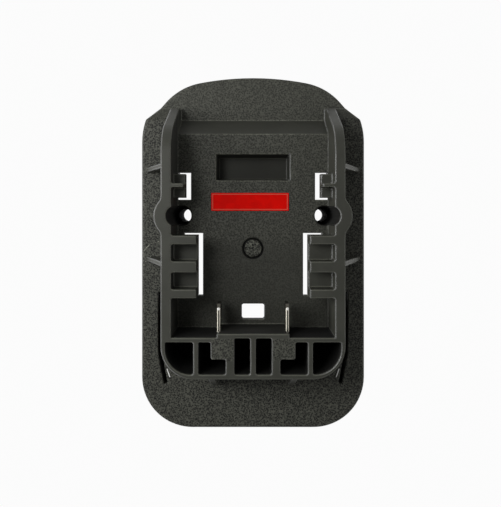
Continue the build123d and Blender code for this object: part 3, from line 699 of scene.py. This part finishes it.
def blade_material(settings):
    """Nickelled strip with painted highlights on its rims and at the tip, darker flat faces as painted dark
    reflection, and painted shade on the nose.
    """
    material, tree, shader = new_material("nickelled_brass")
    base = settings.blade_colour
    place = millimetres(tree)
    axes = axes_of(tree, place)
    lines = place_group(tree, "Rolling Lines", Place=place, Stretch=STRIP_LINES)
    slope = math_node(tree, "ABSOLUTE", axes["lean_x"])
    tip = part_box("positive_blade")[1][1] / MM - SPOT_SETBACK
    spot = near(tree, axes["side"], axes["y"], (SPOT_SIDE, tip), SPOT_RADIUS)
    nose = between(tree, axes["y"], tip + NOSE_START, tip + NOSE_END, 0.1)
    # Rims and the tip spot get painted highlights, the other faces a darker painted reflection
    rims = product(tree, between(tree, slope, *RIM_SLOPE), between(tree, axes["up"], 0.2, FULL, 0.1))
    bright = product(tree, largest(tree, rims, spot), between(tree, axes["up"], 0.1, FULL, 0.1))
    painted_highlight = blend_shades(tree, lines["Mask"], base, 1.2, 1.5)
    dull = blend_shades(tree, lines["Mask"], base, 0.3, 0.62)
    shown = blend_colour(tree, bright, dull, painted_highlight)
    shown = blend_colour(tree, nose, shown, shade(base, 0.13))
    metal = blend_value(tree, bright, 1.0, 0.6)
    fill(tree, shader, Base_Color=blend_colour(tree, spot, shown, settings.tip_highlight_colour),
         Roughness=blend_value(tree, bright, 0.24, 0.42), Metallic=blend_value(tree, spot, metal, 0.1))
    bump(tree, shader, lines["Height"], mm(FINE_DEPTH), strength=0.5)
    return material


def strip_metal(name, base, stretch, roughness):
    """Rolled or drawn metal with fine lines and a slight tarnish."""
    material, tree, shader = new_material(name)
    place = millimetres(tree)
    lines = place_group(tree, "Rolling Lines", Place=place, Stretch=stretch)
    tarnish = product(tree, mottle_mask(tree, place, size=2.4), TARNISH)
    bright = blend_shades(tree, lines["Mask"], base, 0.85, 1.1)
    dull = tuple(channel * share for channel, share in zip(base, TARNISH_TINT))
    fill(tree, shader, Base_Color=blend_colour(tree, tarnish, bright, dull), Metallic=1.0,
         Roughness=blend_value(tree, lines["Mask"], *roughness))
    edges = place_group(tree, "Edge Highlights", Radius=mm(METAL_EDGE))
    bump(tree, shader, lines["Height"], mm(FINE_DEPTH), strength=0.5, normal=edges["Normal"])
    return material


def insulation(name, base):
    """Smooth wire insulation with a faint mottle."""
    material, tree, shader = new_material(name)
    place = millimetres(tree)
    mottle = mottle_mask(tree, place, size=2.0)
    grain = place_group(tree, "Spark Grain", Place=place, Size=0.25)
    fill(tree, shader, Base_Color=blend_shades(tree, mottle, base, 0.9, 1.12),
         Roughness=blend_value(tree, mottle, 0.38, 0.5))
    bump(tree, shader, grain["Height"], mm(FINE_DEPTH), strength=0.3)
    return material


def board_material(settings):
    """Solder mask over copper tracks, with tinned rings round the pads."""
    material, tree, shader = new_material("green_board")
    base = settings.board_colour
    parts = parts_of(tree, millimetres(tree))
    x, y = parts[0], parts[1]
    wave = math_node(tree, "FRACT", product(tree, y, TRACK_COUNT))
    tracks = product(tree, between(tree, wave, *TRACK_BAND), between(tree, x, *TRACKED_WIDTH))
    rings = largest(tree, *[near(tree, x, y, pad, PAD_RADIUS) for pad in PADS])
    mask = blend_colour(tree, tracks, base, shade(base, 1.6))
    fill(tree, shader, Base_Color=blend_colour(tree, rings, mask, settings.pad_colour), Metallic=rings,
         Roughness=blend_value(tree, rings, 0.32, 0.38))
    bump(tree, shader, tracks, mm(TRACK_HEIGHT), strength=0.8)
    return material


def resistor_material(base):
    """Lacquered body with plain bands across it."""
    material, tree, shader = new_material("resistor_body")
    place = millimetres(tree)
    low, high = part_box("identity_resistor")
    span = (high[0] - low[0]) / MM
    along = math_node(tree, "SUBTRACT", parts_of(tree, place)[0], low[0] / MM)
    mottle = mottle_mask(tree, place, size=1.2)
    shown = blend_shades(tree, mottle, base, 0.92, 1.08)
    for start, band_colour in BANDS:
        band = between(tree, along, span * start, span * (start + BAND_SHARE), 0.04)
        shown = blend_colour(tree, band, shown, band_colour)
    fill(tree, shader, Base_Color=shown, Roughness=blend_value(tree, mottle, 0.3, 0.38))
    return material


def capacitor_material(settings):
    """Shrunk sleeve with a pale stripe and a bare metal top."""
    material, tree, shader = new_material("capacitor_can")
    axes = axes_of(tree, millimetres(tree))
    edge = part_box("filter_capacitor")[1][0] / MM
    top = between(tree, axes["up"], 0.9, FULL, 0.05)
    stripe = between(tree, axes["x"], edge - STRIPE_START, edge + STRIPE_END, 0.05)
    sleeve = blend_colour(tree, stripe, settings.capacitor_colour, settings.stripe_colour)
    fill(tree, shader, Base_Color=blend_colour(tree, top, sleeve, settings.can_colour), Metallic=top,
         Roughness=blend_value(tree, top, 0.3, 0.36))
    return material


# Meshes


def add_object(name, data):
    """A new object in the scene, with a mesh, a lamp or a camera."""
    piece = bpy.data.objects.new(name, data)
    bpy.context.scene.collection.objects.link(piece)
    return piece


def new_piece(name, bm):
    """An object with bm's mesh. It frees bm."""
    mesh = bpy.data.meshes.new(name)
    bm.to_mesh(mesh)
    bm.free()
    return add_object(name, mesh)


def loose_boxes(name):
    """Boxes of the separate solids in a CAD node, as (low, high) corners."""
    bm = bmesh.new()
    bm.from_mesh(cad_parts[name].data)
    bmesh.ops.remove_doubles(bm, verts=bm.verts, dist=mm(0.002))
    left = set(bm.verts)
    boxes = []
    while left:
        front = [left.pop()]
        places = []
        while front:
            vertex = front.pop()
            places.append(vertex.co)
            others = {edge.other_vert(vertex) for edge in vertex.link_edges} & left
            left -= others
            front.extend(others)
        boxes.append([Vector([pick(p[i] for p in places) for i in range(3)]) for pick in (min, max)])
    bm.free()
    return sorted(boxes, key=lambda b: (b[0].y, b[0].x))


def ring_of(bm, centre, radius, z, count):
    """One level ring of vertices."""
    angles = [2 * math.pi * i / count for i in range(count)]
    places = [(centre.x + radius * math.cos(a), centre.y + radius * math.sin(a), z) for a in angles]
    return [bm.verts.new(place) for place in places]


def edges_round(bm, ring):
    """The edges that join each vertex of a ring to the next."""
    return [bm.edges.get((vertex, ring[(i + 1) % len(ring)])) for i, vertex in enumerate(ring)]


def bridge(bm, lower, upper):
    """Quads between two rings."""
    count = len(lower)
    for i in range(count):
        bm.faces.new((lower[i], lower[(i + 1) % count], upper[(i + 1) % count], upper[i]))


def shade_by_angle(mesh, degrees):
    """Smooth faces, with sharp edges where two faces meet at more than the angle."""
    bm = bmesh.new()
    bm.from_mesh(mesh)
    for face in bm.faces:
        face.smooth = True
    for edge in bm.edges:
        edge.smooth = edge.is_manifold and edge.calc_face_angle(0.0) < math.radians(degrees)
    bm.to_mesh(mesh)
    bm.free()


# Screw nodes, and whether their heads point down
SCREW_SETS = (("housing_screws", True), ("connector_screws", False), ("board_screws", False))

# Head profile from the seat up as shares of the head's radius and height, the shank's share of that radius,
# the tip's share of the shank's, and how far the recess narrows to its bottom
SCREW_SIDES = 36
HEAD_HEIGHT = mm(1.5)
HEAD_PROFILE = ((1.0, 1.0), (1.0, 0.62), (0.96, 0.4), (0.88, 0.2), (0.76, 0.07), (0.62, 0.0))
SHANK_SHARE = 0.48
TIP_SHARE = 0.35
RECESS_TAPER = 0.72
SCREW_CREASE = 32.0

# Thread: how far out it stands at each step of a turn, how far up it starts in turns, the length left without
# it, and the length of the pointed end
THREAD_STEPS = (1.0, 0.5, 0.0, 0.5)
THREAD_START = 0.3
PLAIN_LENGTH = mm(1.0)
POINT_LENGTH = mm(0.7)


def add_head(bm, centre, radius, face_z, out, settings):
    """A pan head with a cross recess. Returns the ring at its seat."""
    rings = [ring_of(bm, centre, radius * wide, face_z - out * HEAD_HEIGHT * high, SCREW_SIDES)
             for wide, high in HEAD_PROFILE]
    for first, second in zip(rings, rings[1:]):
        bridge(bm, first, second)
    reach = settings.recess_reach
    half = settings.recess_width / 2
    cross = [(half, reach), (half, half), (reach, half), (reach, -half), (half, -half), (half, -reach),
             (-half, -reach), (-half, -half), (-reach, -half), (-reach, half), (-half, half), (-half, reach)]
    bottom_z = face_z - out * settings.recess_depth
    top = [bm.verts.new((centre.x + x, centre.y + y, face_z)) for x, y in cross]
    narrowed = [(x * RECESS_TAPER, y * RECESS_TAPER) for x, y in cross]
    deep = [bm.verts.new((centre.x + x, centre.y + y, bottom_z)) for x, y in narrowed]
    bridge(bm, top, deep)
    bm.faces.new(deep)
    bmesh.ops.triangle_fill(bm, edges=edges_round(bm, rings[-1]) + edges_round(bm, top), use_beauty=True)
    return rings[0]


def add_screw(bm, low, high, head_down, settings):
    """A pan-headed screw with a cross recess and a helical thread, in the box of its plain solid."""
    centre = (low + high) / 2
    head_radius = (high.x - low.x) / 2
    out = -1.0 if head_down else 1.0
    face_z = low.z if head_down else high.z
    tip_z = high.z if head_down else low.z
    seat_z = face_z - out * HEAD_HEIGHT
    seat = add_head(bm, centre, head_radius, face_z, out, settings)
    shank_radius = head_radius * SHANK_SHARE
    last = ring_of(bm, centre, shank_radius, seat_z, SCREW_SIDES)
    bridge(bm, seat, last)
    span = abs(tip_z - seat_z)
    steps = len(THREAD_STEPS)
    turns = int((span - PLAIN_LENGTH) / settings.thread_pitch)
    for row in range(turns * steps):
        radius = shank_radius - settings.thread_depth * (1 - THREAD_STEPS[row % steps])
        ring = ring_of(bm, centre, radius, seat_z, SCREW_SIDES)
        for i, vertex in enumerate(ring):
            lift = (row / steps + i / SCREW_SIDES + THREAD_START) * settings.thread_pitch
            vertex.co.z = seat_z - out * min(lift, span - POINT_LENGTH)
        bridge(bm, last, ring)
        last = ring
    nose = ring_of(bm, centre, shank_radius * TIP_SHARE, tip_z, SCREW_SIDES)
    bridge(bm, last, nose)
    bm.faces.new(nose)


def screw_set(node_name, head_down, settings):
    """Screws with recesses and threads in place of the plain ones of a CAD node."""
    bm = bmesh.new()
    for low, high in loose_boxes(node_name):
        add_screw(bm, low, high, head_down, settings)
    bmesh.ops.recalc_face_normals(bm, faces=bm.faces)
    piece = new_piece(node_name + "_cut", bm)
    shade_by_angle(piece.data, SCREW_CREASE)
    return piece


# Springs: steps in a turn, sides of the wire, and the rise of a touching turn in wire diameters
COIL_STEPS = 28
WIRE_SIDES = 10
TOUCHING_RISE = 1.04
COIL_CREASE = 50.0


def coil_spring(name, settings):
    """A coil spring with closed ends, in the box of its plain coil, on the latch's body."""
    low, high = (Vector(corner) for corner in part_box(name))
    centre = (low + high) / 2
    wire = settings.wire_diameter / 2
    reach = (high.x - low.x) / 2 - wire
    closed = settings.closed_turns
    total = settings.active_turns + 2 * closed
    closed_rise = closed * settings.wire_diameter * TOUCHING_RISE
    free_rise = high.z - low.z - settings.wire_diameter - 2 * closed_rise
    bm = bmesh.new()
    last = None
    rows = int(total * COIL_STEPS)
    up = Vector((0.0, 0.0, 1.0))
    angles = [2 * math.pi * i / WIRE_SIDES for i in range(WIRE_SIDES)]
    for row in range(rows + 1):
        turn = total * row / rows
        opened = min(max(turn - closed, 0.0), settings.active_turns)
        rise = closed_rise * (turn - opened) / closed + free_rise * opened / settings.active_turns
        out = Vector((math.cos(2 * math.pi * turn), math.sin(2 * math.pi * turn), 0.0))
        point = Vector((centre.x, centre.y, low.z + wire + rise)) + out * reach
        spokes = [out * math.cos(angle) + up * math.sin(angle) for angle in angles]
        ring = [bm.verts.new(point + spoke * wire) for spoke in spokes]
        if last is None:
            bm.faces.new(ring)
        else:
            bridge(bm, last, ring)
        last = ring
    bm.faces.new(last)
    bmesh.ops.recalc_face_normals(bm, faces=bm.faces)
    piece = new_piece(name + "_coil", bm)
    shade_by_angle(piece.data, COIL_CREASE)
    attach(piece, "latch")
    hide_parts(name)
    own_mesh(piece)
    return piece


# Stage

FLOOR_SIDES = 72
FLOOR_DROP = mm(0.2)
CURVE_STEP = 15
LAMP_TARGET = Vector((0.0, -0.012, 0.02))


def floor_material(settings):
    """Paper that shows white to the camera and in reflections, and takes the light and shadow underneath."""
    material, tree, shader = new_material("floor_paper")
    mottle = mottle_mask(tree, millimetres(tree), size=60.0)
    base = settings.floor_colour
    fill(tree, shader, Base_Color=blend_colour(tree, mottle, base, shade(base, 1.03)), Roughness=0.9)
    glow = node(tree, "Emission", Strength=1.0)
    path = node(tree, "LightPath").outputs
    seen = math_node(tree, "ADD", path["Is Camera Ray"], path["Is Glossy Ray"])
    seen = math_node(tree, "ADD", seen, path["Is Transmission Ray"], clamp=True)
    mix = node(tree, "MixShader")
    sources = (product(tree, seen, settings.floor_glow), shader.outputs[0], glow.outputs[0])
    for source, socket in zip(sources, mix.inputs):
        feed(tree, source, socket)
    fill(tree, tree.nodes["Material Output"], Surface=mix.outputs[0])
    return material


def add_floor(settings):
    """A wide pale floor that curves up into a backdrop all round."""
    bm = bmesh.new()
    radius, curve = settings.floor_radius, settings.backdrop_curve
    turns = [math.radians(angle) for angle in range(0, 91, CURVE_STEP)]
    profile = [(radius + curve * math.sin(turn), curve * (1 - math.cos(turn))) for turn in turns]
    profile.append((radius + curve, settings.backdrop_height))
    middle = Vector((0.0, 0.0))
    rings = [ring_of(bm, middle, reach, height - FLOOR_DROP, FLOOR_SIDES) for reach, height in profile]
    bm.faces.new(rings[0])
    for lower, upper in zip(rings, rings[1:]):
        bridge(bm, lower, upper)
    for face in bm.faces:
        face.smooth = True
    floor = new_piece("floor", bm)
    floor.data.materials.append(floor_material(settings))


def add_lamp(name, watts, place, size):
    """A square lamp that looks at the middle of the object."""
    lamp = bpy.data.lights.new(name, "AREA")
    lamp.size = size
    lamp.energy = watts
    piece = add_object(name, lamp)
    piece.location = place
    piece.rotation_euler = (LAMP_TARGET - Vector(place)).to_track_quat("-Z", "Y").to_euler()


def add_sky(settings):
    """Even pale light from all round."""
    world = bpy.data.worlds.new("studio")
    world.use_nodes = True
    tree = world.node_tree
    fill(tree, tree.nodes["Background"], Color=(1.0, 1.0, 1.0), Strength=settings.sky_strength)
    bpy.context.scene.world = world


def add_camera():
    """The photograph's camera, straight above the receptacle."""
    data = bpy.data.cameras.new("camera")
    data.lens = 40.2
    data.sensor_width = 36.0
    data.shift_x = -0.005
    data.shift_y = -0.084
    data.clip_start = 0.01
    data.clip_end = 20.0
    camera = add_object("camera", data)
    camera.location = (0.0, mm(1.54), mm(212.0))
    bpy.context.scene.camera = camera


# Operators, one for each piece or group of like pieces


class ADAPTER_OT_mouldings(bpy.types.Operator):
    """Give both shells and the contact holder their moulded plastic"""
    bl_idname = "adapter.mouldings"
    bl_label = "Shells and Contact Holder"

    def execute(self, context):
        settings = context.scene.adapter_plastic
        body = settings.body_colour
        receptacle = moulded_plastic("black_plastic_receptacle", body, settings, receptacle_masks)
        finish_with("battery_side_shell", receptacle)
        back = moulded_plastic("black_plastic_back", body, settings, outside_masks, grain_share=0.8)
        finish_with("tool_side_shell", back)
        holder = moulded_plastic("grey_plastic", settings.connector_colour, settings, holder_masks,
                                 grain_share=0.5, smooth_roughness=0.38)
        finish_with("connector_block", holder)
        return {"FINISHED"}


class ADAPTER_OT_latch(bpy.types.Operator):
    """Finish the latch button and its two coil springs"""
    bl_idname = "adapter.latch"
    bl_label = "Latch Button and Springs"

    def execute(self, context):
        settings = context.scene.adapter_plastic
        button = moulded_plastic("button_plastic", settings.button_colour, settings, outside_masks,
                                 grain_share=0.7)
        finish_with("latch_button", button)
        wire_colour = context.scene.adapter_contacts.spring_colour
        steel = strip_metal("spring_steel", wire_colour, WIRE_LINES, roughness=(0.2, 0.34))
        for name in ("latch_spring_left", "latch_spring_right"):
            piece = coil_spring(name, context.scene.adapter_springs)
            piece.data.materials.append(steel)
        return {"FINISHED"}


class ADAPTER_OT_film(bpy.types.Operator):
    """Finish the bare film strip on the floor of the receptacle"""
    bl_idname = "adapter.film"
    bl_label = "Film Strip"

    def execute(self, context):
        finish_with("label", film_material(context.scene.adapter_film))
        return {"FINISHED"}


class ADAPTER_OT_contacts(bpy.types.Operator):
    """Finish the battery blades and the sprung sockets"""
    bl_idname = "adapter.contacts"
    bl_label = "Blades and Sockets"

    def execute(self, context):
        settings = context.scene.adapter_contacts
        blades = blade_material(settings)
        for name in ("positive_blade", "negative_blade"):
            finish_with(name, blades)
        sockets = strip_metal("socket_bronze", settings.socket_colour, STRIP_LINES, roughness=(0.25, 0.4))
        for name in ("positive_socket", "negative_socket", "signal_socket"):
            finish_with(name, sockets)
        return {"FINISHED"}


class ADAPTER_OT_wiring(bpy.types.Operator):
    """Finish the four leads inside the housing"""
    bl_idname = "adapter.wiring"
    bl_label = "Leads"

    def execute(self, context):
        settings = context.scene.adapter_wiring
        finish_with("positive_lead", insulation("red_wire", settings.positive_colour))
        black = insulation("black_wire", settings.negative_colour)
        for name in ("negative_lead", "return_lead"):
            finish_with(name, black)
        finish_with("signal_lead", insulation("white_wire", settings.signal_colour))
        return {"FINISHED"}


class ADAPTER_OT_board(bpy.types.Operator):
    """Finish the circuit board and what it carries"""
    bl_idname = "adapter.board"
    bl_label = "Circuit Board"

    def execute(self, context):
        settings = context.scene.adapter_wiring
        finish_with("circuit_board", board_material(settings))
        finish_with("identity_resistor", resistor_material(settings.resistor_colour))
        finish_with("filter_capacitor", capacitor_material(settings))
        return {"FINISHED"}


class ADAPTER_OT_screws(bpy.types.Operator):
    """Cut recesses and threads on all ten screws"""
    bl_idname = "adapter.screws"
    bl_label = "Screws"

    def execute(self, context):
        zinc_colour = context.scene.adapter_contacts.screw_colour
        steel = strip_metal("screw_steel", zinc_colour, TURNED_LINES, roughness=(0.3, 0.45))
        for name, head_down in SCREW_SETS:
            piece = screw_set(name, head_down, context.scene.adapter_screws)
            piece.data.materials.append(steel)
            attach(piece, "housing")
            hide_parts(name)
        return {"FINISHED"}


class ADAPTER_OT_stage(bpy.types.Operator):
    """Set the floor, the lamps, the even light and the camera"""
    bl_idname = "adapter.stage"
    bl_label = "Stage"

    def execute(self, context):
        settings = context.scene.adapter_stage
        context.scene.view_settings.view_transform = "Standard"
        add_floor(settings)
        add_lamp("key_lamp", settings.key_power, place=(-0.125, 0.062, 0.24), size=0.1)
        add_lamp("side_lamp", settings.side_power, place=(-0.3, 0.03, 0.17), size=0.12)
        add_lamp("right_card", settings.card_power, place=(0.34, 0.0, 0.12), size=0.3)
        add_sky(settings)
        add_camera()
        return {"FINISHED"}


OPERATORS = (
    ADAPTER_OT_mouldings,
    ADAPTER_OT_latch,
    ADAPTER_OT_film,
    ADAPTER_OT_contacts,
    ADAPTER_OT_wiring,
    ADAPTER_OT_board,
    ADAPTER_OT_screws,
    ADAPTER_OT_stage,
)


class ADAPTER_PT_panel(bpy.types.Panel):
    """Pieces of the adapter and their settings"""
    bl_idname = "ADAPTER_PT_panel"
    bl_label = "Battery Adapter"
    bl_space_type = "VIEW_3D"
    bl_region_type = "UI"
    bl_category = "Adapter"

    def draw(self, context):
        for name, settings in SETTINGS.items():
            box = self.layout.box()
            for field in settings.__annotations__:
                box.prop(getattr(context.scene, name), field)
        for operator in OPERATORS:
            self.layout.operator(operator.bl_idname)


def register():
    for name, settings in SETTINGS.items():
        bpy.utils.register_class(settings)
        setattr(bpy.types.Scene, name, bpy.props.PointerProperty(type=settings))
    for operator in OPERATORS:
        bpy.utils.register_class(operator)
    bpy.utils.register_class(ADAPTER_PT_panel)


def unregister():
    bpy.utils.unregister_class(ADAPTER_PT_panel)
    for operator in reversed(OPERATORS):
        bpy.utils.unregister_class(operator)
    for name, settings in reversed(SETTINGS.items()):
        delattr(bpy.types.Scene, name)
        bpy.utils.unregister_class(settings)


def main():
    register()
    make_grain_group()
    make_mottle_group()
    make_rolling_group()
    make_edge_group()
    bpy.ops.adapter.mouldings()
    bpy.ops.adapter.latch()
    bpy.ops.adapter.film()
    bpy.ops.adapter.contacts()
    bpy.ops.adapter.wiring()
    bpy.ops.adapter.board()
    bpy.ops.adapter.screws()
    bpy.ops.adapter.stage()


if __name__ == "__main__":
    main()
